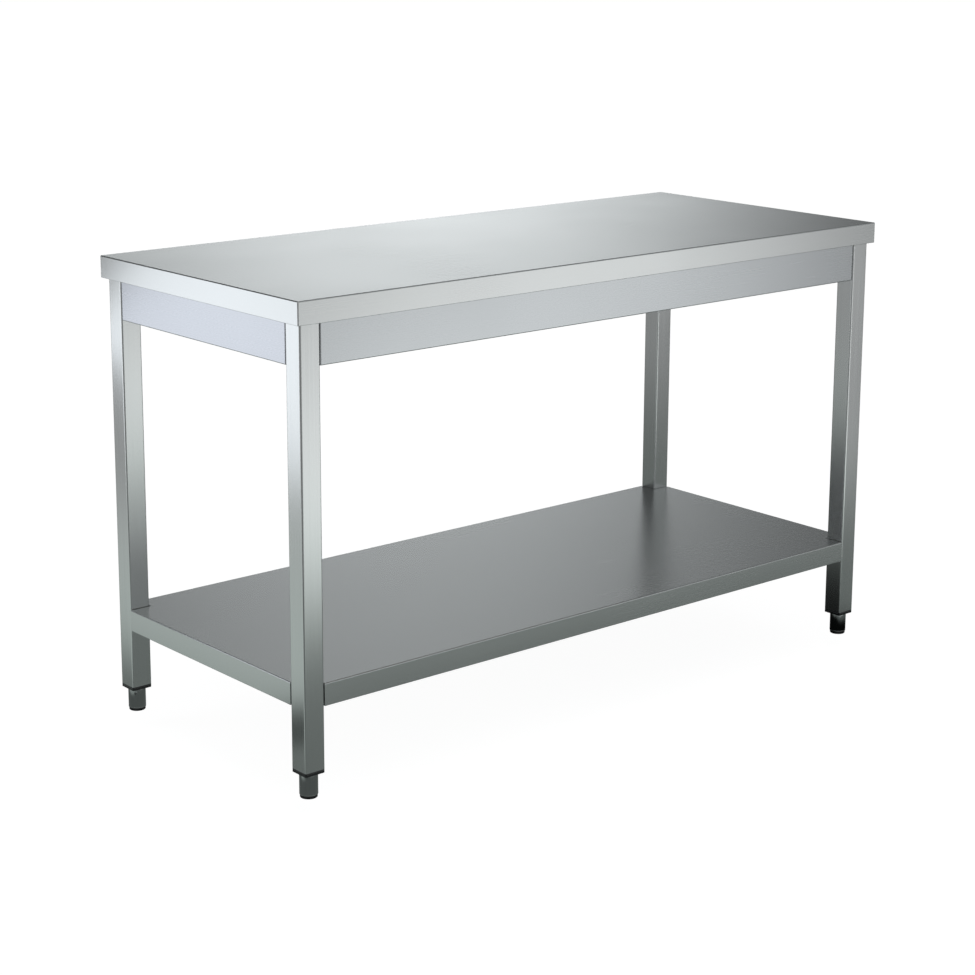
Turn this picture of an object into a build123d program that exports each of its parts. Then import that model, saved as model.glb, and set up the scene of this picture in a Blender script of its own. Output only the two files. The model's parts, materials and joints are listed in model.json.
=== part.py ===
"""Stainless work table with an undershelf, bolted together from folded sheet and square tube.

X runs along the table, Y from the front (-) to the back (+), and Z up from the floor.
The origin is on the floor, under the middle of the worktop. All lengths are in millimetres.
"""
from build123d import *
import os

# ---------------------------------------------------------------- whole table
TABLE_LENGTH = 1400.0
TABLE_DEPTH = 600.0
TABLE_HEIGHT = 850.0
SHEET = 1.2                      # folded stainless sheet
FOLD_RADIUS = 2.0                # outside radius of a fold
HEM_RADIUS = 1.0                 # outside radius along the bottom of an edge

# ---------------------------------------------------------------- worktop
EDGE_HEIGHT = 40.0               # the folded edge, seen from the side
HEM_HEIGHT = 12.0                # edge sheet doubled back inside
BOARD_THICKNESS = 18.0
BOARD_GAP = 0.6                  # between the board and the hem

# ---------------------------------------------------------------- legs
LEG_SIZE = 40.0
LEG_WALL = 1.5
LEG_CORNER = 3.0
LEG_INSET = 10.0                 # leg's outer face behind the worktop's edge
LEG_BOTTOM = 50.0

# ---------------------------------------------------------------- aprons
APRON_BOTTOM = 738.0
APRON_SETBACK = 1.0              # web behind the leg's outer face
APRON_FLANGE = 32.0

# ---------------------------------------------------------------- undershelf
SHELF_TOP = 200.0
SHELF_EDGE = 40.0
SHELF_RETURN = 15.0              # sheet folded inwards under the edge

# ---------------------------------------------------------------- stiffeners, a hat section
HAT_HEIGHT = 25.0
HAT_CROWN = 40.0
HAT_FOOT = 18.0
HAT_END_GAP = 6.0                # between its ends and the aprons or shelf edges
SHELF_HAT_Y = 150.0

# ---------------------------------------------------------------- M6 bolt, washer and rivet nut
BOLT_DIAMETER = 6.0
BOLT_LENGTH = 16.0
BOLT_HEAD_FLATS = 10.0
BOLT_HEAD_HEIGHT = 4.0
BOLT_HOLE = 6.6
WASHER_DIAMETER = 12.0
WASHER_THICKNESS = 1.6
RIVET_FLANGE = 1.0               # keeps the bolted sheet this far off the leg
RIVET_FLANGE_DIAMETER = 13.0
RIVET_BODY = 9.0
RIVET_BULB = 11.5                # crimped ring behind the tube wall
RIVET_BULB_LENGTH = 3.0
RIVET_LENGTH = 13.5
SHANK_GAP = 0.1                  # on the diameter, between a shank and its thread
APRON_END_BOLTS = (758.0, 802.0)     # heights of the front and back aprons' bolts
APRON_SIDE_BOLTS = (774.0, 814.0)    # heights of the left and right aprons' bolts
SHELF_END_BOLTS = (172.0,)
SHELF_SIDE_BOLTS = (188.0,)

# ---------------------------------------------------------------- screws into the board
SCREW_DIAMETER = 4.0
SCREW_LENGTH = 14.0
SCREW_HEAD_DIAMETER = 8.0
SCREW_HEAD_HEIGHT = 2.5
SCREW_HOLE = 4.5
SCREW_POINT = 1.5
LONG_APRON_SCREWS = 4
SHORT_APRON_SCREWS = 2
HAT_SCREWS = 3
SCREW_END_MARGIN = 150.0         # first screw from the end of an apron

# ---------------------------------------------------------------- leg plug and M10 nut
PLUG_FLANGE = 6.5
PLUG_DEPTH = 30.0                # inside the tube
PLUG_GAP = 0.2                   # on the width, between the fins and the tube
PLUG_CORE = 33.0
PLUG_FIN = 1.5
PLUG_FINS = 5
PLUG_BORE = 11.0
NUT_FLATS = 17.0
NUT_HEIGHT = 12.0

# ---------------------------------------------------------------- foot
SLEEVE_DIAMETER = 32.0
SLEEVE_WALL = 1.0
SLEEVE_LIP = 1.0                 # sleeve above its core
FOOT_GAP = 0.3                   # between pieces that turn against each other
STUD_DIAMETER = 10.0
STUD_GAP = 0.1                   # on the diameter, in the nut
STUD_HEAD_BOTTOM = 14.0
STUD_HEAD_HEIGHT = 7.0
STUD_TOP = 92.0
STUD_CHAMFER = 1.0
PAD_DIAMETER = 30.0
PAD_THICKNESS = 5.0
PAD_CHAMFER = 0.6
SPIGOT_DIAMETER = 8.0
SPIGOT_HEIGHT = 6.0
SPIGOT_GAP = 0.1                 # on the diameter, in the core

# ---------------------------------------------------------------- worked out from the above
leg_x = TABLE_LENGTH / 2 - LEG_INSET - LEG_SIZE / 2
leg_y = TABLE_DEPTH / 2 - LEG_INSET - LEG_SIZE / 2
leg_inner_x = leg_x - LEG_SIZE / 2
leg_inner_y = leg_y - LEG_SIZE / 2
board_bottom = TABLE_HEIGHT - SHEET - BOARD_THICKNESS
edge_bottom = TABLE_HEIGHT - EDGE_HEIGHT
apron_height = board_bottom - APRON_BOTTOM
shelf_bottom = SHELF_TOP - SHELF_EDGE
plug_bottom = LEG_BOTTOM - PLUG_FLANGE
sleeve_bottom = PAD_THICKNESS + FOOT_GAP
sleeve_top = plug_bottom - FOOT_GAP
core_top = sleeve_top - SLEEVE_LIP

CORNERS = {
    "front_left": (-1, -1),
    "front_right": (1, -1),
    "back_left": (-1, 1),
    "back_right": (1, 1),
}


def save(piece, name):
    """Label a finished piece and write it as its own STEP file."""
    piece.part.label = name
    export_step(piece.part, f"parts/{name}.step")


def bolt_planes(end_heights, side_heights):
    """Planes where bolts enter the legs, on the tube's face, with Z pointing into the leg."""
    planes = []
    for side_x, side_y in CORNERS.values():
        for height in end_heights:
            centre = (side_x * leg_inner_x, side_y * leg_y, height)
            planes.append(Plane(origin=centre, x_dir=(0, 0, 1), z_dir=(side_x, 0, 0)))
        for height in side_heights:
            centre = (side_x * leg_x, side_y * leg_inner_y, height)
            planes.append(Plane(origin=centre, x_dir=(0, 0, 1), z_dir=(0, side_y, 0)))
    return planes


def even_steps(half_length, count):
    """Evenly spaced places from -half_length to +half_length."""
    return [half_length * (2 * step / (count - 1) - 1) for step in range(count)]


apron_bolt_planes = bolt_planes(APRON_END_BOLTS, APRON_SIDE_BOLTS)
shelf_bolt_planes = bolt_planes(SHELF_END_BOLTS, SHELF_SIDE_BOLTS)
all_bolt_planes = apron_bolt_planes + shelf_bolt_planes

long_apron_y = leg_y + LEG_SIZE / 2 - APRON_SETBACK          # outer face of the web
short_apron_x = leg_x + LEG_SIZE / 2 - APRON_SETBACK
long_apron_half = leg_inner_x - RIVET_FLANGE
short_apron_half = leg_inner_y - RIVET_FLANGE
hat_half = short_apron_x - APRON_FLANGE - HAT_END_GAP

screw_points = []
for screw_x in even_steps(long_apron_half - SCREW_END_MARGIN, LONG_APRON_SCREWS):
    for side in (-1, 1):
        screw_points.append((screw_x, side * (long_apron_y - APRON_FLANGE / 2)))
for screw_y in even_steps(short_apron_half - SCREW_END_MARGIN, SHORT_APRON_SCREWS):
    for side in (-1, 1):
        screw_points.append((side * (short_apron_x - APRON_FLANGE / 2), screw_y))
for screw_x in even_steps(hat_half - SCREW_END_MARGIN, HAT_SCREWS):
    for side in (-1, 1):
        screw_points.append((screw_x, side * (HAT_CROWN / 2 - SHEET + HAT_FOOT / 2)))


def make_worktop():
    """Folded tray: top sheet, four edges, and a hem doubled back inside each edge."""
    with BuildPart() as worktop:
        with BuildSketch(Plane.XY.offset(edge_bottom)):
            RectangleRounded(TABLE_LENGTH, TABLE_DEPTH, FOLD_RADIUS)
        extrude(amount=EDGE_HEIGHT)
        fillet(worktop.faces().sort_by(Axis.Z)[-1].edges(), FOLD_RADIUS)
        offset(amount=-SHEET, openings=worktop.faces().sort_by(Axis.Z)[0])
        with BuildSketch(Plane.XY.offset(edge_bottom)):
            RectangleRounded(TABLE_LENGTH - SHEET, TABLE_DEPTH - SHEET, FOLD_RADIUS - SHEET / 2)
            Rectangle(TABLE_LENGTH - 4 * SHEET, TABLE_DEPTH - 4 * SHEET, mode=Mode.SUBTRACT)
        extrude(amount=HEM_HEIGHT)
        bottom_face = worktop.faces().sort_by(Axis.Z)[0]
        fillet(bottom_face.outer_wire().edges(), HEM_RADIUS)
    save(worktop, "worktop")


def make_board():
    """Laminated board that fills the top of the tray, with a pilot hole for each screw."""
    margin = 4 * SHEET + 2 * BOARD_GAP
    with BuildPart() as board:
        with BuildSketch(Plane.XY.offset(board_bottom)):
            Rectangle(TABLE_LENGTH - margin, TABLE_DEPTH - margin)
        extrude(amount=BOARD_THICKNESS)
        with BuildSketch(Plane.XY.offset(board_bottom)):
            with Locations(*screw_points):
                Circle((SCREW_DIAMETER + SHANK_GAP) / 2)
        extrude(amount=SCREW_LENGTH, mode=Mode.SUBTRACT)
    save(board, "worktop_board")


def make_hat(name, y, top, holes):
    """Hat-section stiffener along X: two feet against the sheet or board above, crown below."""
    crown_z = top - HAT_HEIGHT + SHEET / 2
    wall_y = (HAT_CROWN - SHEET) / 2
    foot_y = HAT_CROWN / 2 - SHEET + HAT_FOOT / 2
    with BuildPart() as hat:
        with BuildSketch(Plane.YZ.offset(-hat_half)):
            with Locations((y, crown_z)):
                Rectangle(HAT_CROWN, SHEET)
            with Locations((y - wall_y, top - HAT_HEIGHT / 2), (y + wall_y, top - HAT_HEIGHT / 2)):
                Rectangle(SHEET, HAT_HEIGHT)
            with Locations((y - foot_y, top - SHEET / 2), (y + foot_y, top - SHEET / 2)):
                Rectangle(HAT_FOOT, SHEET)
        extrude(amount=2 * hat_half)
        if holes:
            with BuildSketch(Plane.XY.offset(top - SHEET)):
                with Locations(*screw_points):
                    Circle(SCREW_HOLE / 2)
            extrude(amount=SHEET, mode=Mode.SUBTRACT)
    save(hat, name)


def make_apron(name, centre_x, centre_y, size_x, size_y, inner_axis, inner_side):
    """Folded pan between two legs: a web outside, and four flanges turned inwards."""
    with BuildPart() as apron:
        with BuildSketch(Plane.XY.offset(APRON_BOTTOM)):
            with Locations((centre_x, centre_y)):
                Rectangle(size_x, size_y)
        extrude(amount=apron_height)
        outer_face = apron.faces().sort_by(inner_axis)[inner_side]
        fillet(outer_face.edges(), FOLD_RADIUS)
        inner_face = apron.faces().sort_by(inner_axis)[-1 - inner_side]
        offset(amount=-SHEET, openings=inner_face)
        for plane in apron_bolt_planes:
            with BuildSketch(plane.offset(-RIVET_FLANGE - SHEET)):
                Circle(BOLT_HOLE / 2)
            extrude(amount=SHEET, mode=Mode.SUBTRACT)
        with BuildSketch(Plane.XY.offset(board_bottom - SHEET)):
            with Locations(*screw_points):
                Circle(SCREW_HOLE / 2)
        extrude(amount=SHEET, mode=Mode.SUBTRACT)
    save(apron, name)


def make_leg(corner, side_x, side_y):
    """Square tube from the plug's flange up to the board, with holes for the rivet nuts."""
    inside = LEG_SIZE - 2 * LEG_WALL
    with BuildPart() as leg:
        with BuildSketch(Plane.XY.offset(LEG_BOTTOM)):
            with Locations((side_x * leg_x, side_y * leg_y)):
                RectangleRounded(LEG_SIZE, LEG_SIZE, LEG_CORNER)
                RectangleRounded(inside, inside, LEG_CORNER - LEG_WALL, mode=Mode.SUBTRACT)
        extrude(amount=board_bottom - LEG_BOTTOM)
        for plane in all_bolt_planes:
            with BuildSketch(plane):
                Circle((RIVET_BODY + SHANK_GAP) / 2)
            extrude(amount=LEG_WALL, mode=Mode.SUBTRACT)
    save(leg, f"leg_{corner}")


def make_undershelf():
    """Folded tray with a notch round each leg, edges turned down and then inwards."""
    outer_x = 2 * (leg_x + LEG_SIZE / 2)
    outer_y = 2 * (leg_y + LEG_SIZE / 2)
    notch = 2 * (LEG_SIZE + RIVET_FLANGE)
    with BuildPart() as shelf:
        with BuildSketch(Plane.XY.offset(shelf_bottom)):
            Rectangle(outer_x, outer_y)
            with Locations(*[(x * outer_x / 2, y * outer_y / 2) for x, y in CORNERS.values()]):
                Rectangle(notch, notch, mode=Mode.SUBTRACT)
        extrude(amount=SHELF_EDGE)
        fillet(shelf.faces().sort_by(Axis.Z)[-1].edges(), FOLD_RADIUS)
        offset(amount=-SHEET, openings=shelf.faces().sort_by(Axis.Z)[0])
        with BuildSketch(Plane.XY.offset(shelf_bottom)):
            Rectangle(outer_x - SHEET, outer_y - SHEET)
            with Locations(*[(x * outer_x / 2, y * outer_y / 2) for x, y in CORNERS.values()]):
                Rectangle(notch + SHEET, notch + SHEET, mode=Mode.SUBTRACT)
            Rectangle(outer_x - 2 * SHELF_RETURN, outer_y - notch - 2 * SHELF_RETURN, mode=Mode.SUBTRACT)
            Rectangle(outer_x - notch - 2 * SHELF_RETURN, outer_y - 2 * SHELF_RETURN, mode=Mode.SUBTRACT)
        extrude(amount=SHEET)
        for plane in shelf_bolt_planes:
            with BuildSketch(plane.offset(-RIVET_FLANGE - SHEET)):
                Circle(BOLT_HOLE / 2)
            extrude(amount=SHEET, mode=Mode.SUBTRACT)
        bottom_face = shelf.faces().sort_by(Axis.Z)[0]
        fillet(bottom_face.outer_wire().edges(), HEM_RADIUS)
    save(shelf, "undershelf")


def make_bolts():
    """M6 hexagon bolts: head inside the sheet, shank through the rivet nut."""
    under_head = -RIVET_FLANGE - SHEET - WASHER_THICKNESS
    with BuildPart() as bolts:
        for plane in all_bolt_planes:
            with BuildSketch(plane.offset(under_head)):
                RegularPolygon(BOLT_HEAD_FLATS / 2, 6, major_radius=False)
            extrude(amount=-BOLT_HEAD_HEIGHT)
            with BuildSketch(plane.offset(under_head)):
                Circle(BOLT_DIAMETER / 2)
            extrude(amount=BOLT_LENGTH)
    save(bolts, "leg_bolts")


def make_washers():
    """Plain washers under the bolt heads."""
    with BuildPart() as washers:
        for plane in all_bolt_planes:
            with BuildSketch(plane.offset(-RIVET_FLANGE - SHEET - WASHER_THICKNESS)):
                Circle(WASHER_DIAMETER / 2)
                Circle((BOLT_DIAMETER + SHANK_GAP) / 2, mode=Mode.SUBTRACT)
            extrude(amount=WASHER_THICKNESS)
    save(washers, "leg_washers")


def make_rivet_nuts():
    """Rivet nuts set in the tube walls: flange outside, crimped bulb and threaded body inside."""
    bore = (BOLT_DIAMETER + SHANK_GAP) / 2
    with BuildPart() as nuts:
        for plane in all_bolt_planes:
            with BuildSketch(plane.offset(-RIVET_FLANGE)):
                Circle(RIVET_FLANGE_DIAMETER / 2)
                Circle(bore, mode=Mode.SUBTRACT)
            extrude(amount=RIVET_FLANGE)
            with BuildSketch(plane):
                Circle(RIVET_BODY / 2)
                Circle(bore, mode=Mode.SUBTRACT)
            extrude(amount=RIVET_LENGTH)
            with BuildSketch(plane.offset(LEG_WALL)):
                Circle(RIVET_BULB / 2)
                Circle(bore, mode=Mode.SUBTRACT)
            extrude(amount=RIVET_BULB_LENGTH)
    save(nuts, "rivet_nuts")


def make_board_screws():
    """Pan-head screws up through the flanges into the board."""
    under_head = board_bottom - SHEET
    with BuildPart() as screws:
        with BuildSketch(Plane.XY.offset(under_head)):
            with Locations(*screw_points):
                Circle(SCREW_DIAMETER / 2)
        extrude(amount=SCREW_LENGTH)
        chamfer(screws.faces().group_by(Axis.Z)[-1].edges(), SCREW_POINT)
        with BuildSketch(Plane.XY.offset(under_head)):
            with Locations(*screw_points):
                Circle(SCREW_HEAD_DIAMETER / 2)
        extrude(amount=-SCREW_HEAD_HEIGHT)
        fillet(screws.faces().group_by(Axis.Z)[0].edges(), SCREW_HEAD_HEIGHT / 2)
    save(screws, "board_screws")


def make_plug(corner, x, y):
    """Plastic plug: square flange under the tube, finned body inside it, pocket for the nut."""
    across_fins = LEG_SIZE - 2 * LEG_WALL - PLUG_GAP
    fin_step = (PLUG_DEPTH - PLUG_FIN) / (PLUG_FINS - 1)
    with BuildPart() as plug:
        with BuildSketch(Plane.XY.offset(plug_bottom)):
            with Locations((x, y)):
                RectangleRounded(LEG_SIZE, LEG_SIZE, LEG_CORNER)
        extrude(amount=PLUG_FLANGE)
        with BuildSketch(Plane.XY.offset(LEG_BOTTOM)):
            with Locations((x, y)):
                RectangleRounded(PLUG_CORE, PLUG_CORE, LEG_WALL)
        extrude(amount=PLUG_DEPTH)
        for fin in range(PLUG_FINS):
            with BuildSketch(Plane.XY.offset(LEG_BOTTOM + fin * fin_step)):
                with Locations((x, y)):
                    RectangleRounded(across_fins, across_fins, LEG_WALL)
            extrude(amount=PLUG_FIN)
        with BuildSketch(Plane.XY.offset(plug_bottom)):
            with Locations((x, y)):
                Circle(PLUG_BORE / 2)
        extrude(amount=PLUG_FLANGE + PLUG_DEPTH, mode=Mode.SUBTRACT)
        with BuildSketch(Plane.XY.offset(LEG_BOTTOM)):
            with Locations((x, y)):
                RegularPolygon(NUT_FLATS / 2, 6, major_radius=False)
        extrude(amount=NUT_HEIGHT, mode=Mode.SUBTRACT)
    save(plug, f"leg_plug_{corner}")


def make_plug_nuts():
    """Long M10 nuts moulded into the plugs."""
    with BuildPart() as nuts:
        with BuildSketch(Plane.XY.offset(LEG_BOTTOM)):
            with Locations(*[(side_x * leg_x, side_y * leg_y) for side_x, side_y in CORNERS.values()]):
                RegularPolygon(NUT_FLATS / 2, 6, major_radius=False)
                Circle((STUD_DIAMETER + STUD_GAP) / 2, mode=Mode.SUBTRACT)
        extrude(amount=NUT_HEIGHT)
    save(nuts, "plug_nuts")


def make_stud(corner, x, y):
    """M10 stud whose hexagon head is held in the nylon core."""
    with BuildPart() as stud:
        with BuildSketch(Plane.XY.offset(STUD_HEAD_BOTTOM)):
            with Locations((x, y)):
                RegularPolygon(NUT_FLATS / 2, 6, major_radius=False)
        extrude(amount=STUD_HEAD_HEIGHT)
        with BuildSketch(Plane.XY.offset(STUD_HEAD_BOTTOM)):
            with Locations((x, y)):
                Circle(STUD_DIAMETER / 2)
        extrude(amount=STUD_TOP - STUD_HEAD_BOTTOM)
        chamfer(stud.faces().sort_by(Axis.Z)[-1].edges(), STUD_CHAMFER)
    save(stud, f"foot_stud_{corner}")


def make_core(corner, x, y):
    """Nylon core: fills the sleeve, holds the stud's head, and turns on the pad's spigot."""
    with BuildPart() as core:
        with BuildSketch(Plane.XY.offset(sleeve_bottom)):
            with Locations((x, y)):
                Circle((SLEEVE_DIAMETER - STUD_GAP) / 2 - SLEEVE_WALL)
        extrude(amount=core_top - sleeve_bottom)
        with BuildSketch(Plane.XY.offset(STUD_HEAD_BOTTOM)):
            with Locations((x, y)):
                RegularPolygon(NUT_FLATS / 2, 6, major_radius=False)
        extrude(amount=STUD_HEAD_HEIGHT, mode=Mode.SUBTRACT)
        with BuildSketch(Plane.XY.offset(STUD_HEAD_BOTTOM)):
            with Locations((x, y)):
                Circle((STUD_DIAMETER + STUD_GAP) / 2)
        extrude(amount=core_top - STUD_HEAD_BOTTOM, mode=Mode.SUBTRACT)
        with BuildSketch(Plane.XY.offset(sleeve_bottom)):
            with Locations((x, y)):
                Circle((SPIGOT_DIAMETER + SPIGOT_GAP) / 2)
        extrude(amount=SPIGOT_HEIGHT + FOOT_GAP, mode=Mode.SUBTRACT)
    save(core, f"foot_core_{corner}")


def make_sleeve(corner, x, y):
    """Stainless sleeve round the core, the part that is turned by hand."""
    with BuildPart() as sleeve:
        with BuildSketch(Plane.XY.offset(sleeve_bottom)):
            with Locations((x, y)):
                Circle(SLEEVE_DIAMETER / 2)
                Circle(SLEEVE_DIAMETER / 2 - SLEEVE_WALL, mode=Mode.SUBTRACT)
        extrude(amount=sleeve_top - sleeve_bottom)
        chamfer(sleeve.edges().group_by(Axis.Z)[-1].sort_by(SortBy.LENGTH)[-1], SLEEVE_WALL / 3)
        chamfer(sleeve.edges().group_by(Axis.Z)[0].sort_by(SortBy.LENGTH)[-1], SLEEVE_WALL / 3)
    save(sleeve, f"foot_sleeve_{corner}")


def make_pad(corner, x, y):
    """Black pad on the floor, with a spigot that the core turns on."""
    with BuildPart() as pad:
        with BuildSketch(Plane.XY):
            with Locations((x, y)):
                Circle(PAD_DIAMETER / 2)
        extrude(amount=PAD_THICKNESS)
        chamfer(pad.edges().group_by(Axis.Z)[0], PAD_CHAMFER)
        with BuildSketch(Plane.XY.offset(PAD_THICKNESS)):
            with Locations((x, y)):
                Circle(SPIGOT_DIAMETER / 2)
        extrude(amount=SPIGOT_HEIGHT)
    save(pad, f"foot_pad_{corner}")


os.makedirs("parts", exist_ok=True)

make_worktop()
make_board()
make_hat("worktop_stiffener", 0.0, board_bottom, holes=True)
make_hat("shelf_stiffener_front", -SHELF_HAT_Y, SHELF_TOP - SHEET, holes=False)
make_hat("shelf_stiffener_back", SHELF_HAT_Y, SHELF_TOP - SHEET, holes=False)

long_centre_y = long_apron_y - APRON_FLANGE / 2
short_centre_x = short_apron_x - APRON_FLANGE / 2
make_apron("apron_front", 0, -long_centre_y, 2 * long_apron_half, APRON_FLANGE, Axis.Y, 0)
make_apron("apron_back", 0, long_centre_y, 2 * long_apron_half, APRON_FLANGE, Axis.Y, -1)
make_apron("apron_left", -short_centre_x, 0, APRON_FLANGE, 2 * short_apron_half, Axis.X, 0)
make_apron("apron_right", short_centre_x, 0, APRON_FLANGE, 2 * short_apron_half, Axis.X, -1)

make_undershelf()
make_bolts()
make_washers()
make_rivet_nuts()
make_board_screws()
make_plug_nuts()

for corner_name, (corner_x, corner_y) in CORNERS.items():
    make_leg(corner_name, corner_x, corner_y)
    make_plug(corner_name, corner_x * leg_x, corner_y * leg_y)
    make_stud(corner_name, corner_x * leg_x, corner_y * leg_y)
    make_core(corner_name, corner_x * leg_x, corner_y * leg_y)
    make_sleeve(corner_name, corner_x * leg_x, corner_y * leg_y)
    make_pad(corner_name, corner_x * leg_x, corner_y * leg_y)
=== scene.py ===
"""Stainless work table: materials, fine detail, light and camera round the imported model.

All lengths are in metres, in the row frame: X along the table, Y to the back, Z up.
"""
import json
import math

import bmesh
import bpy
from mathutils import Matrix, Vector


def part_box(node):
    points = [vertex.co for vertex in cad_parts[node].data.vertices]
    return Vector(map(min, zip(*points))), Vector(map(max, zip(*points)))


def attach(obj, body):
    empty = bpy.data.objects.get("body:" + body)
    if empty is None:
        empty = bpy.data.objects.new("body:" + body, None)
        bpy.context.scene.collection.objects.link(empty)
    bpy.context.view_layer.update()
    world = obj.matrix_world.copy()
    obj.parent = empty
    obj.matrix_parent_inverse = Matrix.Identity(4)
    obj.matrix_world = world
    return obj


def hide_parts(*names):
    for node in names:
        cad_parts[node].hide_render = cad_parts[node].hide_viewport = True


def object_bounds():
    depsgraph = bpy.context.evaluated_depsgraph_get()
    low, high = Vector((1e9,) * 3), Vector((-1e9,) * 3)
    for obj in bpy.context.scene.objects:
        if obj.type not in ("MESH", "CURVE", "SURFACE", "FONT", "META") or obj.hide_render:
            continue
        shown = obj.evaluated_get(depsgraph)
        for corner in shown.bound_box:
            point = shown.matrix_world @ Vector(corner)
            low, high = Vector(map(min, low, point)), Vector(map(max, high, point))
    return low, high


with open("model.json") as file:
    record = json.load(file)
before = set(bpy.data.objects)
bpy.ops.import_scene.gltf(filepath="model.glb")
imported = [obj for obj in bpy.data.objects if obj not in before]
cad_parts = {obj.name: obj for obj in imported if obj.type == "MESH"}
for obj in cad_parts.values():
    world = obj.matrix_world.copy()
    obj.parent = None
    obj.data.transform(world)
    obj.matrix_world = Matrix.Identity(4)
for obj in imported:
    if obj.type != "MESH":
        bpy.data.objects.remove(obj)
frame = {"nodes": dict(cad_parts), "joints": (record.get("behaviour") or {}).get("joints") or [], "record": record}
cad_low, cad_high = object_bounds()

# ---------------------------------------------------------------- camera
CAMERA_PLACE = (-2.7206, -3.1280, 1.4742)
CAMERA_AZIMUTH = -40.498         # degrees, 0 looks along +Y
CAMERA_ELEVATION = 12.467
CAMERA_ROLL = 0.252
CAMERA_LENS = 82.32              # mm
CAMERA_SENSOR = 36.0             # mm
CAMERA_SHIFT_Y = -0.10

# ---------------------------------------------------------------- studio
WHITE = (1.0, 1.0, 1.0, 1.0)
FLOOR_HALF = 40.0
FLOOR_GAP = 0.0005               # below the feet when they are screwed right out
FLOOR_GLOW = (0.95, 0.95, 0.95, 1.0)         # what the camera sees
FLOOR_MATT = (0.22, 0.22, 0.22, 1.0)         # what takes the shadows
FLOOR_NEAR_TINT = (0.90, 1.0, 0.96, 1.0)     # in reflections, by the table
FLOOR_FAR_TINT = (0.98, 0.99, 1.0, 1.0)      # in reflections, far from it
FLOOR_BASE_LEVEL = 0.20
FLOOR_LEFT_LEVEL = 0.42
FLOOR_FRONT_LEVEL = 1.32
STUDIO_TINT = (0.95, 0.985, 1.0)
STUDIO_BASE_LEVEL = 0.12
STUDIO_GLOW_LEVEL = 1.96
STUDIO_BEHIND_LEVEL = 0.30
STUDIO_OVERHEAD_LEVEL = 0.65


def put(tree, kind, inputs=None, **settings):
    """Adds a shader node. inputs maps a socket's name or number to a value or to an output."""
    made = tree.nodes.new(kind)
    for key, value in settings.items():
        setattr(made, key, value)
    for key, value in (inputs or {}).items():
        if isinstance(value, bpy.types.NodeSocket):
            tree.links.new(value, made.inputs[key])
        else:
            made.inputs[key].default_value = value
    return made


def maths(tree, operation, *values):
    """The output of one maths node."""
    made = put(tree, "ShaderNodeMath", dict(enumerate(values)), operation=operation)
    return made.outputs[0]


def remap(tree, value, low, high, smooth=False):
    """value from (low[0]..high[0]) to (low[1]..high[1]), clamped."""
    kind = "SMOOTHSTEP" if smooth else "LINEAR"
    made = put(
        tree,
        "ShaderNodeMapRange",
        {0: value, 1: low[0], 2: high[0], 3: low[1], 4: high[1]},
        interpolation_type=kind,
    )
    return made.outputs[0]


def product(tree, *values):
    """All of the values multiplied together."""
    total = values[0]
    for value in values[1:]:
        total = maths(tree, "MULTIPLY", total, value)
    return total


def length_of(tree, first, second):
    """Length of the vector (first, second)."""
    squares = maths(tree, "ADD", maths(tree, "POWER", first, 2.0), maths(tree, "POWER", second, 2.0))
    return maths(tree, "SQRT", squares)


def scaled(tree, vector, factor):
    """A vector or colour times one number."""
    made = put(tree, "ShaderNodeVectorMath", {0: vector, "Scale": factor}, operation="SCALE")
    return made.outputs[0]


def stretched(tree, vector, factors):
    """A vector with each of its parts times its own factor."""
    made = put(tree, "ShaderNodeVectorMath", {0: vector, 1: factors}, operation="MULTIPLY")
    return made.outputs[0]


def bumped(tree, shader, strength, distance, height):
    """Raises the shader's surface by height."""
    raised = put(
        tree, "ShaderNodeBump", {"Strength": strength, "Distance": distance, "Height": height}
    )
    tree.links.new(raised.outputs[0], shader.inputs["Normal"])


def cells(tree, vector, scale):
    """A random tone from 0 to 1 for each cell of a Voronoi pattern."""
    made = put(tree, "ShaderNodeTexVoronoi", {"Vector": vector, "Scale": scale, "Randomness": 1.0})
    return put(tree, "ShaderNodeSeparateColor", {0: made.outputs["Color"]}).outputs[0]


def shades(colour, darker, lighter):
    """A darker and a lighter shade of one colour, with alpha."""
    dark = tuple(part * darker for part in colour) + (1.0,)
    light = tuple(min(1.0, part * lighter) for part in colour) + (1.0,)
    return dark, light


def blend_colours(tree, factor, first, second):
    """Mixes two colours."""
    made = put(tree, "ShaderNodeMix", {0: factor, 6: first, 7: second}, data_type="RGBA")
    return made.outputs[2]


def blend_numbers(tree, factor, first, second):
    """Mixes two numbers."""
    made = put(tree, "ShaderNodeMix", {0: factor, 2: first, 3: second}, data_type="FLOAT")
    return made.outputs[0]


def noise(tree, vector, scale, detail=3.0, roughness=0.5):
    """Noise from 0 to 1."""
    made = put(
        tree,
        "ShaderNodeTexNoise",
        {"Vector": vector, "Scale": scale, "Detail": detail, "Roughness": roughness},
    )
    return made.outputs[0]


def new_material(name):
    """A material with a Principled shader; returns the material, its tree and that shader."""
    material = bpy.data.materials.new(name)
    material.use_nodes = True
    tree = material.node_tree
    return material, tree, tree.nodes["Principled BSDF"]


STEEP = 0.7                      # a face turned this far towards an axis counts as facing it


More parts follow.
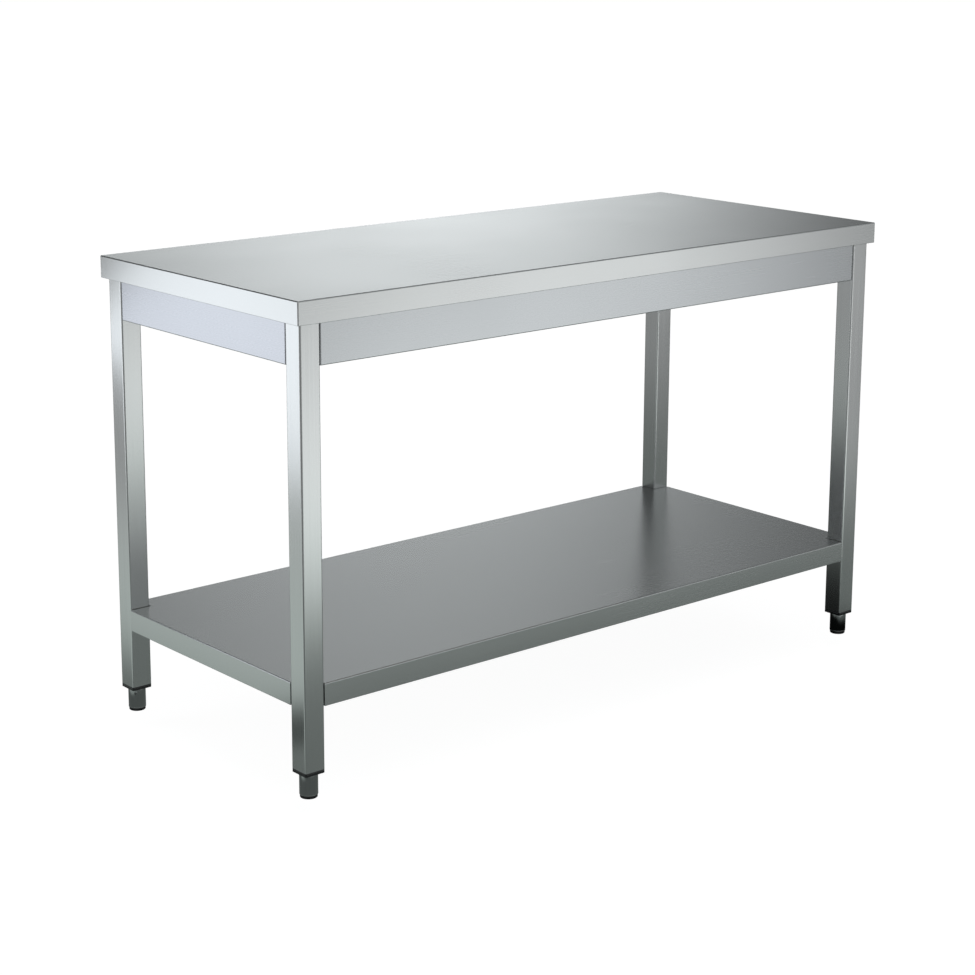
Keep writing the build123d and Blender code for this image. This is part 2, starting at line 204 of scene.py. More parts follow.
def grain_vector(tree, grain):
    """(along the grain, across the grain, 0) in metres, following the sheet round its folds."""
    place = put(tree, "ShaderNodeTexCoord").outputs["Object"]
    normal = put(tree, "ShaderNodeNewGeometry").outputs["Normal"]
    places = put(tree, "ShaderNodeSeparateXYZ", {0: place}).outputs
    turned = put(tree, "ShaderNodeVectorMath", {0: normal}, operation="ABSOLUTE").outputs[0]
    faces = put(tree, "ShaderNodeSeparateXYZ", {0: turned}).outputs
    x, y, z = 0, 1, 2
    along, along_else, across, across_else = {
        "X": (x, z, y, z),
        "Y": (y, z, x, z),
        "Z": (z, x, x, y),
    }[grain]
    along_turned = maths(tree, "GREATER_THAN", faces[along], STEEP)
    across_turned = maths(tree, "GREATER_THAN", faces[across], STEEP)
    first = blend_numbers(tree, along_turned, places[along], places[along_else])
    second = blend_numbers(tree, across_turned, places[across], places[across_else])
    return put(tree, "ShaderNodeCombineXYZ", {0: first, 1: second}).outputs[0]


FINE_GRAIN = (5.0, 1500.0, 1.0)          # noise cells per metre along and across the grain
BROAD_GRAIN = (2.5, 260.0, 1.0)
CLOUD_SCALE = 2.3
RELIEF = 0.0002


def brushed_steel(name, grain, colour, roughness, streak=0.018, bump=0.015):
    """Brushed stainless sheet or tube, with the grain along one axis."""
    material, tree, shader = new_material(name)
    vector = grain_vector(tree, grain)
    fine = noise(tree, stretched(tree, vector, FINE_GRAIN), 1.0, 4.0, 0.65)
    broad = noise(tree, stretched(tree, vector, BROAD_GRAIN), 1.0, 3.0, 0.6)
    place = put(tree, "ShaderNodeTexCoord").outputs["Object"]
    clouds = noise(tree, place, CLOUD_SCALE, 3.0, 0.55)
    both = maths(tree, "ADD", maths(tree, "MULTIPLY", fine, 0.5), maths(tree, "MULTIPLY", broad, 0.5))
    dark, light = shades(colour, 1 - streak, 1 + streak)
    spread = remap(tree, both, (0.35, 0.0), (0.65, 1.0))
    tree.links.new(blend_colours(tree, spread, dark, light), shader.inputs["Base Color"])
    rough_fine = remap(tree, both, (0.3, roughness - 0.012), (0.7, roughness + 0.012))
    rough_cloud = remap(tree, clouds, (0.3, -0.010), (0.7, 0.015))
    tree.links.new(maths(tree, "ADD", rough_fine, rough_cloud), shader.inputs["Roughness"])
    shader.inputs["Metallic"].default_value = 1.0
    bumped(tree, shader, bump, RELIEF, fine)
    return material


SKIN_SCALE = 900.0
SKIN_BUMP = 0.05


def plastic(name, colour, roughness, coat=0.0):
    """Moulded plastic with a fine skin texture."""
    material, tree, shader = new_material(name)
    place = put(tree, "ShaderNodeTexCoord").outputs["Object"]
    skin = noise(tree, place, SKIN_SCALE, 2.0, 0.5)
    clouds = noise(tree, place, 60.0, 2.0, 0.5)
    dark, light = shades(colour, 0.8, 1.25)
    tree.links.new(blend_colours(tree, clouds, dark, light), shader.inputs["Base Color"])
    rough = remap(tree, clouds, (0.3, roughness - 0.04), (0.7, roughness + 0.05))
    tree.links.new(rough, shader.inputs["Roughness"])
    bumped(tree, shader, SKIN_BUMP, RELIEF, skin)
    shader.inputs["Coat Weight"].default_value = coat
    return material


FLAKE_SCALE = 260.0
FLAKE_DARK = (0.20, 0.13, 0.075, 1.0)
FLAKE_LIGHT = (0.52, 0.38, 0.23, 1.0)


def chipboard(name):
    """Raw laminated board: pressed flakes in two browns."""
    material, tree, shader = new_material(name)
    place = put(tree, "ShaderNodeTexCoord").outputs["Object"]
    flakes = cells(tree, place, FLAKE_SCALE)
    fibres = noise(tree, place, 90.0, 4.0, 0.7)
    mixed = maths(tree, "ADD", maths(tree, "MULTIPLY", flakes, 0.6), maths(tree, "MULTIPLY", fibres, 0.4))
    tree.links.new(blend_colours(tree, mixed, FLAKE_DARK, FLAKE_LIGHT), shader.inputs["Base Color"])
    shader.inputs["Roughness"].default_value = 0.75
    bumped(tree, shader, 0.25, 2 * RELIEF, mixed)
    return material


SPANGLE_SCALE = 90.0
ZINC_DARK = (0.40, 0.42, 0.43, 1.0)
ZINC_LIGHT = (0.58, 0.60, 0.61, 1.0)


def galvanised(name):
    """Zinc-coated sheet with its crystal spangle."""
    material, tree, shader = new_material(name)
    place = put(tree, "ShaderNodeTexCoord").outputs["Object"]
    spangle = cells(tree, place, SPANGLE_SCALE)
    tree.links.new(blend_colours(tree, spangle, ZINC_DARK, ZINC_LIGHT), shader.inputs["Base Color"])
    tree.links.new(remap(tree, spangle, (0.0, 0.34), (1.0, 0.52)), shader.inputs["Roughness"])
    shader.inputs["Metallic"].default_value = 1.0
    return material


STEEL = (0.60, 0.615, 0.61)
# Darker copy of the stainless sheet on the front and back aprons: painted shade.
APRON_STEEL_PAINTED_SHADE = (0.515, 0.535, 0.545)
# Darker still on the end aprons: painted shade.
END_APRON_STEEL_DEEPER_SHADE = (0.485, 0.50, 0.53)
TURNED_STEEL = (0.32, 0.33, 0.33)
BOLT_STEEL = (0.55, 0.55, 0.54)
STUD_STEEL = (0.50, 0.50, 0.49)
GLOSSY_BLACK = (0.012, 0.012, 0.013)
NYLON_BLACK = (0.025, 0.025, 0.027)
PAD_BLACK = (0.015, 0.015, 0.016)
materials = {
    "sheet_x": brushed_steel("steel_grain_x", "X", STEEL, 0.26),
    # Front and back aprons: the sheet steel made darker, painted shade.
    "apron_x_painted_shade": brushed_steel("steel_apron_x", "X", APRON_STEEL_PAINTED_SHADE, 0.27),
    # End aprons: the sheet steel made darker still, painted shade.
    "apron_y_painted_shade": brushed_steel("steel_apron_y", "Y", END_APRON_STEEL_DEEPER_SHADE, 0.27),
    "tube": brushed_steel("steel_grain_z", "Z", STEEL, 0.24, streak=0.04),
    "sleeve": brushed_steel("steel_turned", "Z", TURNED_STEEL, 0.16, streak=0.12),
    "fasteners": brushed_steel("steel_fastener", "Z", BOLT_STEEL, 0.30),
    "thread": brushed_steel("steel_thread", "Z", STUD_STEEL, 0.28, streak=0.02, bump=0.02),
    "galvanised": galvanised("galvanised_sheet"),
    "board": chipboard("raw_board"),
    "plug": plastic("plug_plastic", GLOSSY_BLACK, 0.22, coat=0.3),
    "core": plastic("core_nylon", NYLON_BLACK, 0.45),
    "pad": plastic("pad_plastic", PAD_BLACK, 0.55),
}

# The aprons take the darker copies of the sheet steel: painted shade.
SHEET_PAINTED_SHADE = {
    "apron_front": "apron_x_painted_shade",
    "apron_back": "apron_x_painted_shade",
    "apron_left": "apron_y_painted_shade",
    "apron_right": "apron_y_painted_shade",
}
slot_of = {s["node"]: s["material_slot"] for s in frame["record"]["subparts"]}


def dress(node, material):
    """Gives a CAD node its material."""
    mesh = frame["nodes"][node].data
    mesh.materials.clear()
    mesh.materials.append(material)


for node_name in frame["nodes"]:
    slot_name = slot_of[node_name]
    if slot_name == "sheet":
        slot_name = SHEET_PAINTED_SHADE.get(node_name, "sheet_x")
    dress(node_name, materials[slot_name])


# ---------------------------------------------------------------- fine detail, mesh by mesh
M10_RADIUS = 0.005
M10_PITCH = 0.0015
M10_THREAD_DEPTH = 0.00085
M10_END_CHAMFER = 0.0006
M10_HEAD_FLATS = 0.017
M10_HEAD_HEIGHT = 0.007
M6_RADIUS = 0.003
M6_END_CHAMFER = 0.0007
M6_HEAD_FLATS = 0.010
M6_HEAD_HEIGHT = 0.004
M6_WASHER_BORE = 0.00305         # radius
HEAD_CHAMFER_START = 0.93        # of a hexagon head's half width
HEAD_COLLAR = 0.97               # of a hexagon head's half width
HEAD_COLLAR_HEIGHT = 0.0002
SLEEVE_WALL = 0.001
PAD_THICKNESS = 0.005
PAD_SPIGOT_RADIUS = 0.004
PLUG_FLANGE = 0.0065
PLUG_BORE = 0.0055               # radius
PLUG_FINS = 5
PLUG_FIN_THICKNESS = 0.0015
PLUG_FIN_HALF = 0.0183
PLUG_BODY_HALF = 0.0165
THREAD_SIDES = 40
WASHER_SIDES = 48
HEAD_SIDES = 60
SCREW_SIDES = 64
ROUND_SIDES = 96
PLUG_SIDES = 160
MICRONS = 1e6
CORNERS = ("front_left", "front_right", "back_left", "back_right")


def ring(radius, height, sides, centre=(0.0, 0.0)):
    """A ring of points; radius and height are numbers, or functions of the angle."""
    points = []
    for step in range(sides):
        angle = 2 * math.pi * step / sides
        reach = radius(angle) if callable(radius) else radius
        level = height(angle) if callable(height) else height
        points.append((centre[0] + reach * math.cos(angle), centre[1] + reach * math.sin(angle), level))
    return points


def loft(rings, caps=True, closed=False):
    """Vertices and faces through rings of equal length, from the lowest up."""
    sides = len(rings[0])
    points = [point for one in rings for point in one]
    faces = []
    for level in range(len(rings) if closed else len(rings) - 1):
        above = (level + 1) % len(rings)
        for step in range(sides):
            turned = (step + 1) % sides
            faces.append(
                (level * sides + step, level * sides + turned, above * sides + turned, above * sides + step)
            )
    if caps:
        faces.append(tuple(reversed(range(sides))))
        faces.append(tuple(range((len(rings) - 1) * sides, len(rings) * sides)))
    return points, faces


def piece_from(name, parts, material, body, nodes=(), sharp=35.0):
    """One object from (points, faces, placement) parts, smooth except at edges over sharp degrees."""
    points, faces = [], []
    for part_points, part_faces, placement in parts:
        start = len(points)
        points.extend(tuple(placement @ Vector(point)) for point in part_points)
        faces.extend(tuple(start + corner for corner in face) for face in part_faces)
    mesh = bpy.data.meshes.new(name)
    mesh.from_pydata(points, [], faces)
    mesh.validate()
    mesh.shade_smooth()
    mesh.set_sharp_from_angle(angle=math.radians(sharp))
    mesh.materials.append(material)
    piece = bpy.data.objects.new(name, mesh)
    bpy.context.scene.collection.objects.link(piece)
    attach(piece, body)
    if nodes:
        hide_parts(*nodes)
    return piece


def separate_boxes(node):
    """(lowest, highest) corner of each separate solid in a CAD node."""
    mesh = frame["nodes"][node].data
    spots = {}
    home = []
    for vertex in mesh.vertices:
        key = tuple(round(value * MICRONS) for value in vertex.co)
        home.append(spots.setdefault(key, len(spots)))
    parent = list(range(len(spots)))

    def root(index):
        while parent[index] != index:
            parent[index] = parent[parent[index]]
            index = parent[index]
        return index

    for polygon in mesh.polygons:
        first = root(home[polygon.vertices[0]])
        for corner in polygon.vertices[1:]:
            parent[root(home[corner])] = first
    groups = {}
    for vertex, spot in zip(mesh.vertices, home):
        groups.setdefault(root(spot), []).append(vertex.co)
    boxes = []
    for group in groups.values():
        low = Vector([min(co[axis] for co in group) for axis in range(3)])
        high = Vector([max(co[axis] for co in group) for axis in range(3)])
        boxes.append((low, high))
    return sorted(boxes, key=lambda box: tuple(box[0]))


def hexagon(flats):
    """Radius of a hexagon, a corner at angle 0, as a function of the angle."""
    def reach(angle):
        return flats / 2 / math.cos((angle % (math.pi / 3)) - math.pi / 6)
    return reach


def hex_head(flats, height, slope=0.5):
    """Rings of a hexagon head, from its hollowed, chamfered face at -height up to 0."""
    outline = hexagon(flats)
    flat_radius = flats / 2 * HEAD_CHAMFER_START
    collar = flats / 2 * HEAD_COLLAR

    def chamfer(angle):
        return -height + (outline(angle) - flat_radius) * slope

    return [
        ring(flats * 0.20, -height + 0.00012, HEAD_SIDES),
        ring(flats * 0.34, -height + 0.00003, HEAD_SIDES),
        ring(flat_radius, -height, HEAD_SIDES),
        ring(outline, chamfer, HEAD_SIDES),
        ring(outline, -HEAD_COLLAR_HEIGHT, HEAD_SIDES),
        ring(collar, -HEAD_COLLAR_HEIGHT, HEAD_SIDES),
        ring(collar, 0.0, HEAD_SIDES),
    ]


def make_bolts():
    """M6 hexagon bolts, chamfered heads inside the aprons and the undershelf."""
    upward = Vector((0, 0, 1))
    parts = []
    for low, high in separate_boxes("leg_bolts"):
        centre, size = (low + high) / 2, high - low
        axis = 0 if size.x > size.y else 1
        way = math.copysign(1.0, centre[axis])
        into = Vector((way, 0, 0)) if axis == 0 else Vector((0, way, 0))
        under_head = centre - into * (size[axis] / 2 - M6_HEAD_HEIGHT)
        length = size[axis] - M6_HEAD_HEIGHT
        rings = hex_head(M6_HEAD_FLATS, M6_HEAD_HEIGHT)
        rings += [
            ring(M6_RADIUS, 0.0, HEAD_SIDES),
            ring(M6_RADIUS, length - 0.0008, HEAD_SIDES),
            ring(M6_RADIUS - M6_END_CHAMFER, length, HEAD_SIDES),
        ]
        turn = Matrix((upward, into.cross(upward), into)).transposed().to_4x4()
        parts.append((*loft(rings), Matrix.Translation(under_head) @ turn))
    piece_from("bolts_m6", parts, materials["fasteners"], "table", ["leg_bolts"], 25.0)


def make_screws():
    """Pan-head screws with a cross recess, driven up into the board."""
    head_radius = 0.004
    head_height = 0.0025
    shank = 0.002
    point = 0.0015
    wing = 0.00048               # half the width of the recess's arms
    reach = 0.0022
    deep = 0.0014

    def head_level(radius):
        """Underside of the pan head, from -head_height in the middle to 0 at the rim."""
        past = max(0.0, radius / head_radius - 0.55) / 0.45
        return -head_height + head_height * 0.8 * (1 - math.sqrt(max(0.0, 1 - past * past)))

    def recessed(radius):
        """Level of the head at a radius, with the cross cut into it, as a function of the angle."""
        def level(angle):
            x, y = abs(radius * math.cos(angle)), abs(radius * math.sin(angle))
            inside = min(x, y) < wing and radius < reach
            return head_level(radius) + (deep * (1 - 0.55 * radius / reach) if inside else 0.0)
        return level

    recess_radii = (0.00025, 0.00046, 0.0007, 0.0009, 0.0012, 0.0016, 0.00205)
    rim_radii = (reach, 0.0025, 0.003, 0.0034, 0.0037, 0.0039)
    parts = []
    for low, high in separate_boxes("board_screws"):
        centre = (low + high) / 2
        under_head = low.z + head_height
        length = high.z - under_head
        rings = [ring(radius, recessed(radius), SCREW_SIDES) for radius in recess_radii + rim_radii]
        rings += [
            ring(head_radius, -head_height * 0.2, SCREW_SIDES),
            ring(head_radius, 0.0, SCREW_SIDES),
            ring(shank, 0.0, SCREW_SIDES),
            ring(shank, length - point, SCREW_SIDES),
            ring(shank - point, length, SCREW_SIDES),
        ]
        parts.append((*loft(rings), Matrix.Translation((centre.x, centre.y, under_head))))
    steel = materials["fasteners"]
    piece_from("screws_cross_recess", parts, steel, "table", ["board_screws"], 30.0)


def threaded_rod(radius, low, high):
    """A single-start thread along Z between two heights, its top end chamfered."""
    root = radius - M10_THREAD_DEPTH
    # (share of the pitch, radius): the valley, one flank up, the crest, the other flank down
    profile = ((0.0, root), (0.14, root), (0.45, radius), (0.55, radius), (0.86, root))
    end = root - M10_END_CHAMFER
    turns = int((high - low) / M10_PITCH) + 3
    rows = turns * len(profile)
    points = []
    for row in range(rows):
        turn, place = divmod(row, len(profile))
        along, reach = profile[place]
        for step in range(THREAD_SIDES):
            level = low + M10_PITCH * (turn - 1.5 + along + step / THREAD_SIDES)
            limit = max(end, end + (high - level))
            angle = 2 * math.pi * step / THREAD_SIDES
            thick = min(reach, limit)
            points.append((thick * math.cos(angle), thick * math.sin(angle), level))
    faces = []
    for row in range(rows - 1):
        for step in range(THREAD_SIDES):
            if step + 1 < THREAD_SIDES:
                after = (row * THREAD_SIDES + step + 1, (row + 1) * THREAD_SIDES + step + 1)
            elif row + 1 + len(profile) < rows:
                after = ((row + len(profile)) * THREAD_SIDES, (row + 1 + len(profile)) * THREAD_SIDES)
            else:
                continue
            faces.append((row * THREAD_SIDES + step, after[0], after[1], (row + 1) * THREAD_SIDES + step))
    work = bmesh.new()
    made = [work.verts.new(point) for point in points]
    for face in faces:
        work.faces.new([made[corner] for corner in face])
    for level, way in ((low, -1.0), (high, 1.0)):
        everything = work.verts[:] + work.edges[:] + work.faces[:]
        cut = bmesh.ops.bisect_plane(
            work, geom=everything, plane_co=(0, 0, level), plane_no=(0, 0, way), clear_outer=True
        )["geom_cut"]
        bmesh.ops.edgenet_fill(work, edges=[item for item in cut if isinstance(item, bmesh.types.BMEdge)])
    bmesh.ops.recalc_face_normals(work, faces=work.faces[:])
    work.verts.index_update()
    points = [tuple(vertex.co) for vertex in work.verts]
    faces = [tuple(vertex.index for vertex in face.verts) for face in work.faces]
    work.free()
    return points, faces


def foot_centre(corner):
    """Middle of a foot, on the floor."""
    low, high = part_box(f"foot_pad_{corner}")
    return Vector(((low[0] + high[0]) / 2, (low[1] + high[1]) / 2, 0.0))


def make_stud(corner):
    """M10 stud with a real thread, its hexagon head held in the core."""
    low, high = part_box(f"foot_stud_{corner}")
    head_top = low[2] + M10_HEAD_HEIGHT
    outline = hexagon(M10_HEAD_FLATS)
    head = loft([ring(outline, low[2], HEAD_SIDES), ring(outline, head_top, HEAD_SIDES)])
    rod = threaded_rod(M10_RADIUS, head_top - 0.001, high[2])
    place = Matrix.Translation(foot_centre(corner))
    piece_from(
        f"stud_{corner}",
        [(*head, place), (*rod, place)],
        materials["thread"],
        f"foot_{corner}",
        [f"foot_stud_{corner}"],
        50.0,
    )


def make_sleeve(corner):
    """Turned sleeve: rolled rims, and a fine groove above the lower one."""
    low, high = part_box(f"foot_sleeve_{corner}")
    bottom, top = low[2], high[2]
    outer = (high[0] - low[0]) / 2
    inner = outer - SLEEVE_WALL
    groove = outer - 0.00012
    profile = [
        (inner, bottom + 0.0004),
        (inner + 0.0003, bottom + 0.0001),
        (outer - 0.0005, bottom),
        (outer - 0.0001, bottom + 0.0003),
        (outer, bottom + 0.0007),
        (outer, bottom + 0.0016),
        (groove, bottom + 0.0018),
        (groove, bottom + 0.0020),
        (outer, bottom + 0.0022),
        (outer, top - 0.0012),
        (outer - 0.0002, top - 0.0006),
        (outer - 0.0005, top - 0.0001),
        (inner + 0.0003, top),
        (inner, top - 0.0004),
    ]
    rings = [ring(radius, level, ROUND_SIDES) for radius, level in profile]
    place = Matrix.Translation(foot_centre(corner))
    piece_from(
        f"sleeve_{corner}",
        [(*loft(rings, caps=False, closed=True), place)],
        materials["sleeve"],
        f"foot_{corner}",
        [f"foot_sleeve_{corner}"],
        40.0,
    )


def make_pad(corner):
    """Moulded pad: rounded foot with two fine grooves, and the spigot that the core turns on."""
    low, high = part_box(f"foot_pad_{corner}")
    radius = (high[0] - low[0]) / 2
    groove = radius - 0.0003
    thick = PAD_THICKNESS
    spigot = PAD_SPIGOT_RADIUS
    profile = [
        (radius - 0.0060, 0.0006),
        (radius - 0.0052, 0.0),
        (radius - 0.0012, 0.0),
        (radius - 0.0005, 0.0002),
        (radius - 0.0001, 0.0006),
        (radius, 0.0010),
        (radius, 0.0014),
        (groove, 0.0016),
        (groove, 0.0018),
        (radius, 0.0020),
        (radius, 0.0026),
        (groove, 0.0028),
        (groove, 0.0030),
        (radius, 0.0032),
        (radius, thick - 0.0005),
        (radius - 0.0002, thick - 0.0001),
        (radius - 0.0006, thick),
        (spigot + 0.0004, thick),
        (spigot, thick + 0.0004),
        (spigot, high[2] - 0.0006),
        (spigot - 0.0006, high[2]),
    ]
    rings = [ring(reach, level, ROUND_SIDES) for reach, level in profile]
    place = Matrix.Translation(foot_centre(corner))
    piece_from(
        f"pad_{corner}",
        [(*loft(rings), place)],
        materials["pad"],
        f"pad_{corner}",
        [f"foot_pad_{corner}"],
        40.0,
    )


def rounded_square(half, corner_radius):
    """Radius of a rounded square as a function of the angle."""
    flat = half - corner_radius

    def reach(angle):
        turned = angle % (math.pi / 2)
        along = min(turned, math.pi / 2 - turned)
        if half * math.tan(along) <= flat:
            return half / math.cos(along)
        toward = flat * (math.cos(along) + math.sin(along))
        past = toward * toward - 2 * flat * flat + corner_radius * corner_radius
        return toward + math.sqrt(max(0.0, past))

    return reach


def make_plug(corner):
    """Moulded leg plug: rounded square flange, and the finned body inside the tube."""
    low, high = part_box(f"leg_plug_{corner}")
    half = (high[0] - low[0]) / 2
    bottom, top = low[2], high[2]
    flange_top = bottom + PLUG_FLANGE
    flange = [
        (half - 0.0004, bottom),
        (half - 0.0001, bottom + 0.0001),
        (half, bottom + 0.0004),
        (half, flange_top - 0.0004),
        (half - 0.0003, flange_top),
    ]
    fin_step = (top - flange_top - PLUG_FIN_THICKNESS) / (PLUG_FINS - 1)
    body = []
    for fin in range(PLUG_FINS):
        start = flange_top + fin * fin_step
        end = start + PLUG_FIN_THICKNESS
        if fin:
            body.append((PLUG_BODY_HALF, start))
        body += [(PLUG_FIN_HALF, start), (PLUG_FIN_HALF, end), (PLUG_BODY_HALF, end)]
    rings = [ring(PLUG_BORE + 0.0004, bottom, PLUG_SIDES)]
    for outline, corner_radius in ((flange, 0.003), (body, 0.0015)):
        for reach, level in outline:
            rings.append(ring(rounded_square(reach, corner_radius), level, PLUG_SIDES))
    rings += [ring(PLUG_BORE, top, PLUG_SIDES), ring(PLUG_BORE, bottom + 0.0004, PLUG_SIDES)]
    place = Matrix.Translation(((low[0] + high[0]) / 2, (low[1] + high[1]) / 2, 0.0))
    piece_from(
        f"plug_{corner}",
        [(*loft(rings, caps=False, closed=True), place)],
        materials["plug"],
        "table",
        [f"leg_plug_{corner}"],
        40.0,
    )


def make_washers():
    """Plain washers with chamfered rims."""
    upward = Vector((0, 0, 1))
    rim = 0.0003
    parts = []
    for low, high in separate_boxes("leg_washers"):
        centre, size = (low + high) / 2, high - low
        axis = 0 if size.x < size.y else 1
        into = Vector((1, 0, 0)) if axis == 0 else Vector((0, 1, 0))
        thick = size[axis]
        outer = size.z / 2
        rings = [
            ring(M6_WASHER_BORE, 0.0, WASHER_SIDES),
            ring(outer - rim, 0.0, WASHER_SIDES),
            ring(outer, rim, WASHER_SIDES),
            ring(outer, thick - rim, WASHER_SIDES),
            ring(outer - rim, thick, WASHER_SIDES),
            ring(M6_WASHER_BORE, thick, WASHER_SIDES),
        ]
        turn = Matrix((upward, into.cross(upward), into)).transposed().to_4x4()
        start = centre - into * (thick / 2)
        parts.append((*loft(rings, caps=False, closed=True), Matrix.Translation(start) @ turn))
    piece_from("washers_m6", parts, materials["fasteners"], "table", ["leg_washers"], 40.0)


# ---------------------------------------------------------------- floor, surround, lights, camera
def past_side(tree, coordinate, half):
    """How far a coordinate is beyond the table's side, 0 where it isn't."""
    return maths(tree, "MAXIMUM", maths(tree, "SUBTRACT", maths(tree, "ABSOLUTE", coordinate), half), 0.0)


def left_patch(tree, x, y):
    """Light to the left of the table, mirrored in its left faces."""
    side = remap(tree, x, (-0.82, 0.0), (-1.02, 1.0), smooth=True)
    front_end = remap(tree, y, (-0.50, 0.0), (-0.10, 1.0), smooth=True)
    back_end = remap(tree, y, (1.2, 1.0), (2.1, 0.45), smooth=True)
    return product(tree, side, front_end, back_end, FLOOR_LEFT_LEVEL)


def front_pool(tree, x, y):
    """A pool of light in front of the table, mirrored in its front faces."""
    diagonal = maths(tree, "ADD", x, y)
    front = remap(tree, y, (-0.85, 0.0), (-1.80, 1.0), smooth=True)
    near_side = remap(tree, x, (0.8, 1.0), (3.0, 0.30), smooth=True)
    side = blend_numbers(tree, remap(tree, y, (-2.0, 0.0), (-3.4, 1.0)), near_side, 1.0)
    start = remap(tree, diagonal, (-2.6, 0.25), (-1.1, 1.0), smooth=True)
    end = remap(tree, diagonal, (-0.2, 1.0), (1.25, 0.05), smooth=True)
    return product(tree, front, side, start, end, FLOOR_FRONT_LEVEL)


def shaded(tree, level, place, x, y, distance):
    """Darkens three places: on the camera's side, under the right end, and beside the near left leg."""
    corner_x = remap(tree, x, (-0.75, 0.0), (-1.3, 1.0), smooth=True)
    corner_y = remap(tree, y, (-0.2, 0.0), (-0.7, 1.0), smooth=True)
    corner = maths(tree, "SUBTRACT", 1.0, product(tree, corner_x, corner_y, 0.5))
    under = remap(tree, distance, (0.30, 0.0), (0.05, 1.0), smooth=True)
    right_end = remap(tree, x, (-0.1, 0.0), (0.3, 1.0), smooth=True)
    under_right = maths(tree, "SUBTRACT", 1.0, product(tree, under, right_end, 0.97))
    from_spot = put(
        tree, "ShaderNodeVectorMath", {0: place, 1: (-0.955, 0.06, 0.0)}, operation="DISTANCE"
    ).outputs["Value"]
    spot = remap(tree, from_spot, (0.08, 0.0), (0.14, 1.0), smooth=True)
    return product(tree, level, corner, under_right, spot)


def mirrored_floor(tree):
    """The floor's light in everything but the camera's own view of it, as an emission."""
    place = put(tree, "ShaderNodeTexCoord").outputs["Object"]
    x, y = put(tree, "ShaderNodeSeparateXYZ", {0: place}).outputs[:2]
    distance = length_of(tree, past_side(tree, x, cad_high[0]), past_side(tree, y, cad_high[1]))
    lit = maths(tree, "ADD", front_pool(tree, x, y), left_patch(tree, x, y))
    level = maths(tree, "ADD", lit, FLOOR_BASE_LEVEL)
    level = shaded(tree, level, place, x, y, distance)
    far = remap(tree, distance, (0.5, 0.0), (2.2, 1.0), smooth=True)
    tint = blend_colours(tree, far, FLOOR_NEAR_TINT, FLOOR_FAR_TINT)
    return put(tree, "ShaderNodeEmission", {0: scaled(tree, tint, level), 1: 1.0}).outputs[0]


def seen_floor(tree):
    """Near white with soft shadows from above, and clear from below."""
    glow = put(tree, "ShaderNodeEmission", {0: FLOOR_GLOW, 1: 1.0}).outputs[0]
    matt = put(tree, "ShaderNodeBsdfDiffuse", {0: FLOOR_MATT}).outputs[0]
    above = put(tree, "ShaderNodeAddShader", {0: glow, 1: matt}).outputs[0]
    clear = put(tree, "ShaderNodeBsdfTransparent").outputs[0]
    underneath = put(tree, "ShaderNodeNewGeometry").outputs["Backfacing"]
    return put(tree, "ShaderNodeMixShader", {0: underneath, 1: above, 2: clear}).outputs[0]


def make_floor():
    """Pale floor, just below where the feet reach when they are screwed right out."""
    half = FLOOR_HALF
    travel = max(joint["range_m"][1] for joint in frame["joints"] if joint["type"] == "slide")
    ground = -travel - FLOOR_GAP
    mesh = bpy.data.meshes.new("floor")
    corners = [(-half, -half, ground), (half, -half, ground), (half, half, ground), (-half, half, ground)]
    mesh.from_pydata(corners, [], [(0, 1, 2, 3)])
    floor = bpy.data.objects.new("floor", mesh)
    bpy.context.scene.collection.objects.link(floor)
    material = bpy.data.materials.new("floor")
    material.use_nodes = True
    tree = material.node_tree
    tree.nodes.clear()
    camera_ray = put(tree, "ShaderNodeLightPath").outputs["Is Camera Ray"]
    mixed = put(
        tree, "ShaderNodeMixShader", {0: camera_ray, 1: mirrored_floor(tree), 2: seen_floor(tree)}
    ).outputs[0]
    put(tree, "ShaderNodeOutputMaterial", {0: mixed})
    mesh.materials.append(material)


def make_world():
    """Studio surround: a low glow behind the table, and soft light overhead and on the camera's side."""
    world = bpy.data.worlds.new("studio")
    bpy.context.scene.world = world
    world.use_nodes = True
    tree = world.node_tree
    tree.nodes.clear()
    direction = put(tree, "ShaderNodeTexCoord").outputs["Generated"]
    parts = put(tree, "ShaderNodeSeparateXYZ", {0: direction}).outputs
    azimuth = maths(tree, "DEGREES", maths(tree, "ARCTAN2", parts[0], parts[1]))
    elevation = maths(tree, "DEGREES", maths(tree, "ARCSINE", parts[2]))
    rise = remap(tree, azimuth, (23.5, 0.0), (37.5, 1.0), smooth=True)
    fall = remap(tree, azimuth, (39.5, 1.0), (52.0, 0.0), smooth=True)
    lobe = maths(tree, "MULTIPLY", rise, fall)
    low = remap(tree, elevation, (7.5, 1.0), (12.0, 0.14), smooth=True)
    overhead = remap(tree, elevation, (55.0, 0.0), (85.0, 1.0), smooth=True)
    glow = product(tree, lobe, low, STUDIO_GLOW_LEVEL)
    away = maths(tree, "ABSOLUTE", azimuth)
    behind = remap(tree, away, (75.0, 0.0), (115.0, STUDIO_BEHIND_LEVEL), smooth=True)
    behind = product(tree, behind, remap(tree, elevation, (40.0, 1.0), (60.0, 0.0), smooth=True))
    base = maths(tree, "ADD", maths(tree, "ADD", glow, behind), STUDIO_BASE_LEVEL)
    level = maths(tree, "MULTIPLY_ADD", overhead, STUDIO_OVERHEAD_LEVEL, base)
    camera_ray = put(tree, "ShaderNodeLightPath").outputs["Is Camera Ray"]
    shown = blend_colours(tree, camera_ray, scaled(tree, STUDIO_TINT, level), WHITE)
    background = put(tree, "ShaderNodeBackground", {0: shown, 1: 1.0}).outputs[0]
    put(tree, "ShaderNodeOutputWorld", {0: background})


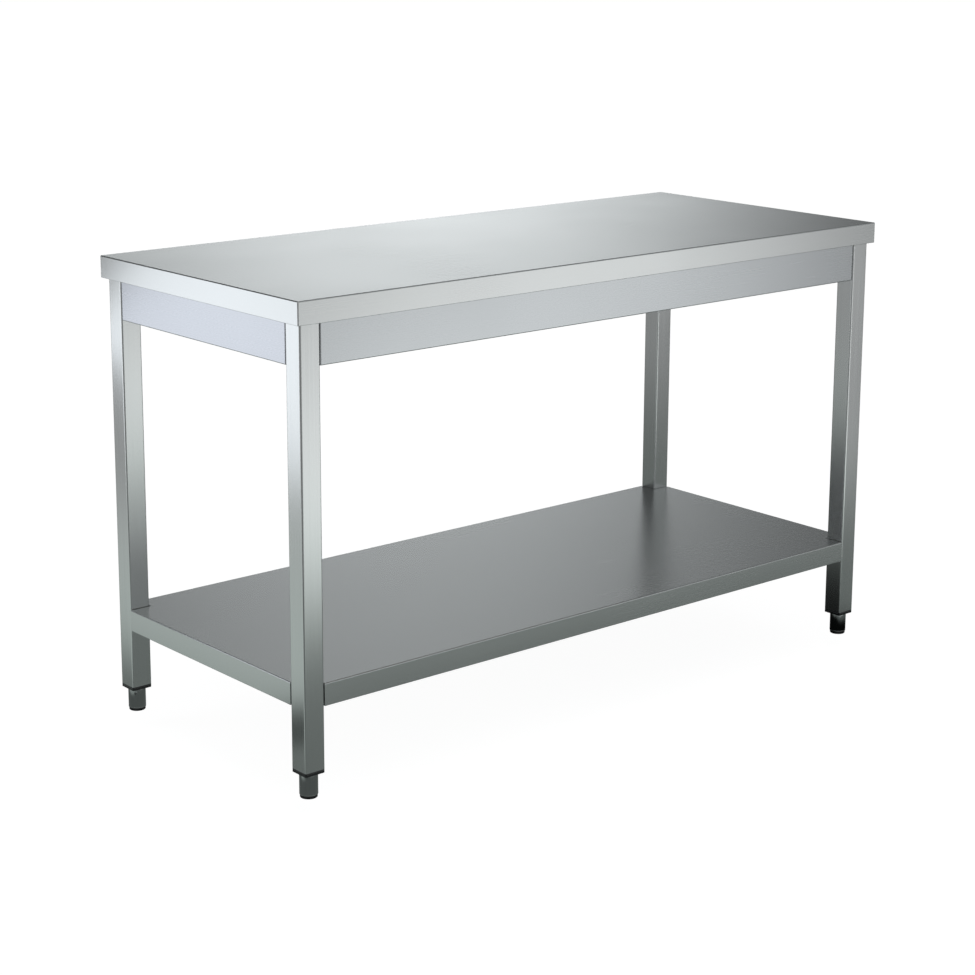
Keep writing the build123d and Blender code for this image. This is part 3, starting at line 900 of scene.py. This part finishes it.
def make_softbox(name, place, target, width, height, radiance, colour=WHITE[:3]):
    """A rectangular light that faces target, as bright as radiance, unseen by the camera."""
    light = bpy.data.lights.new(name, "AREA")
    light.shape = "RECTANGLE"
    light.size = width
    light.size_y = height
    light.energy = radiance * width * height * math.pi
    light.color = colour
    box = bpy.data.objects.new(name, light)
    box.location = place
    box.rotation_euler = (Vector(target) - Vector(place)).to_track_quat("-Z", "Z").to_euler()
    box.visible_camera = False
    bpy.context.scene.collection.objects.link(box)


def make_camera():
    """The photograph's camera."""
    azimuth = math.radians(CAMERA_AZIMUTH)
    elevation = math.radians(CAMERA_ELEVATION)
    roll = math.radians(CAMERA_ROLL)
    back = Vector(
        (
            math.sin(azimuth) * math.cos(elevation),
            -math.cos(azimuth) * math.cos(elevation),
            math.sin(elevation),
        )
    )
    right = Vector((0, 0, 1)).cross(back).normalized()
    up = back.cross(right)
    right, up = (
        right * math.cos(roll) + up * math.sin(roll),
        up * math.cos(roll) - right * math.sin(roll),
    )
    turn = Matrix((right, up, back)).transposed().to_4x4()
    data = bpy.data.cameras.new("camera")
    data.lens = CAMERA_LENS
    data.sensor_width = CAMERA_SENSOR
    data.shift_y = CAMERA_SHIFT_Y
    camera = bpy.data.objects.new("camera", data)
    camera.matrix_world = Matrix.Translation(CAMERA_PLACE) @ turn
    bpy.context.scene.collection.objects.link(camera)
    bpy.context.scene.camera = camera


# ---------------------------------------------------------------- the scene
make_bolts()
make_washers()
make_screws()
for corner_name in CORNERS:
    make_stud(corner_name)
    make_sleeve(corner_name)
    make_pad(corner_name)
    make_plug(corner_name)

make_floor()
make_world()
make_softbox(
    "box_left",
    place=(-1.26, 0.60, 0.62),
    target=(-0.7, -0.17, 0.70),
    width=0.59,
    height=0.52,
    radiance=1.20,
    colour=(0.90, 0.94, 1.0),
)
make_softbox(
    "box_overhead",
    place=(-0.8, -1.6, 3.2),
    target=(0.0, 0.0, 0.5),
    width=2.0,
    height=2.0,
    radiance=1.0,
)
make_camera()

bpy.context.scene.view_settings.view_transform = "Standard"
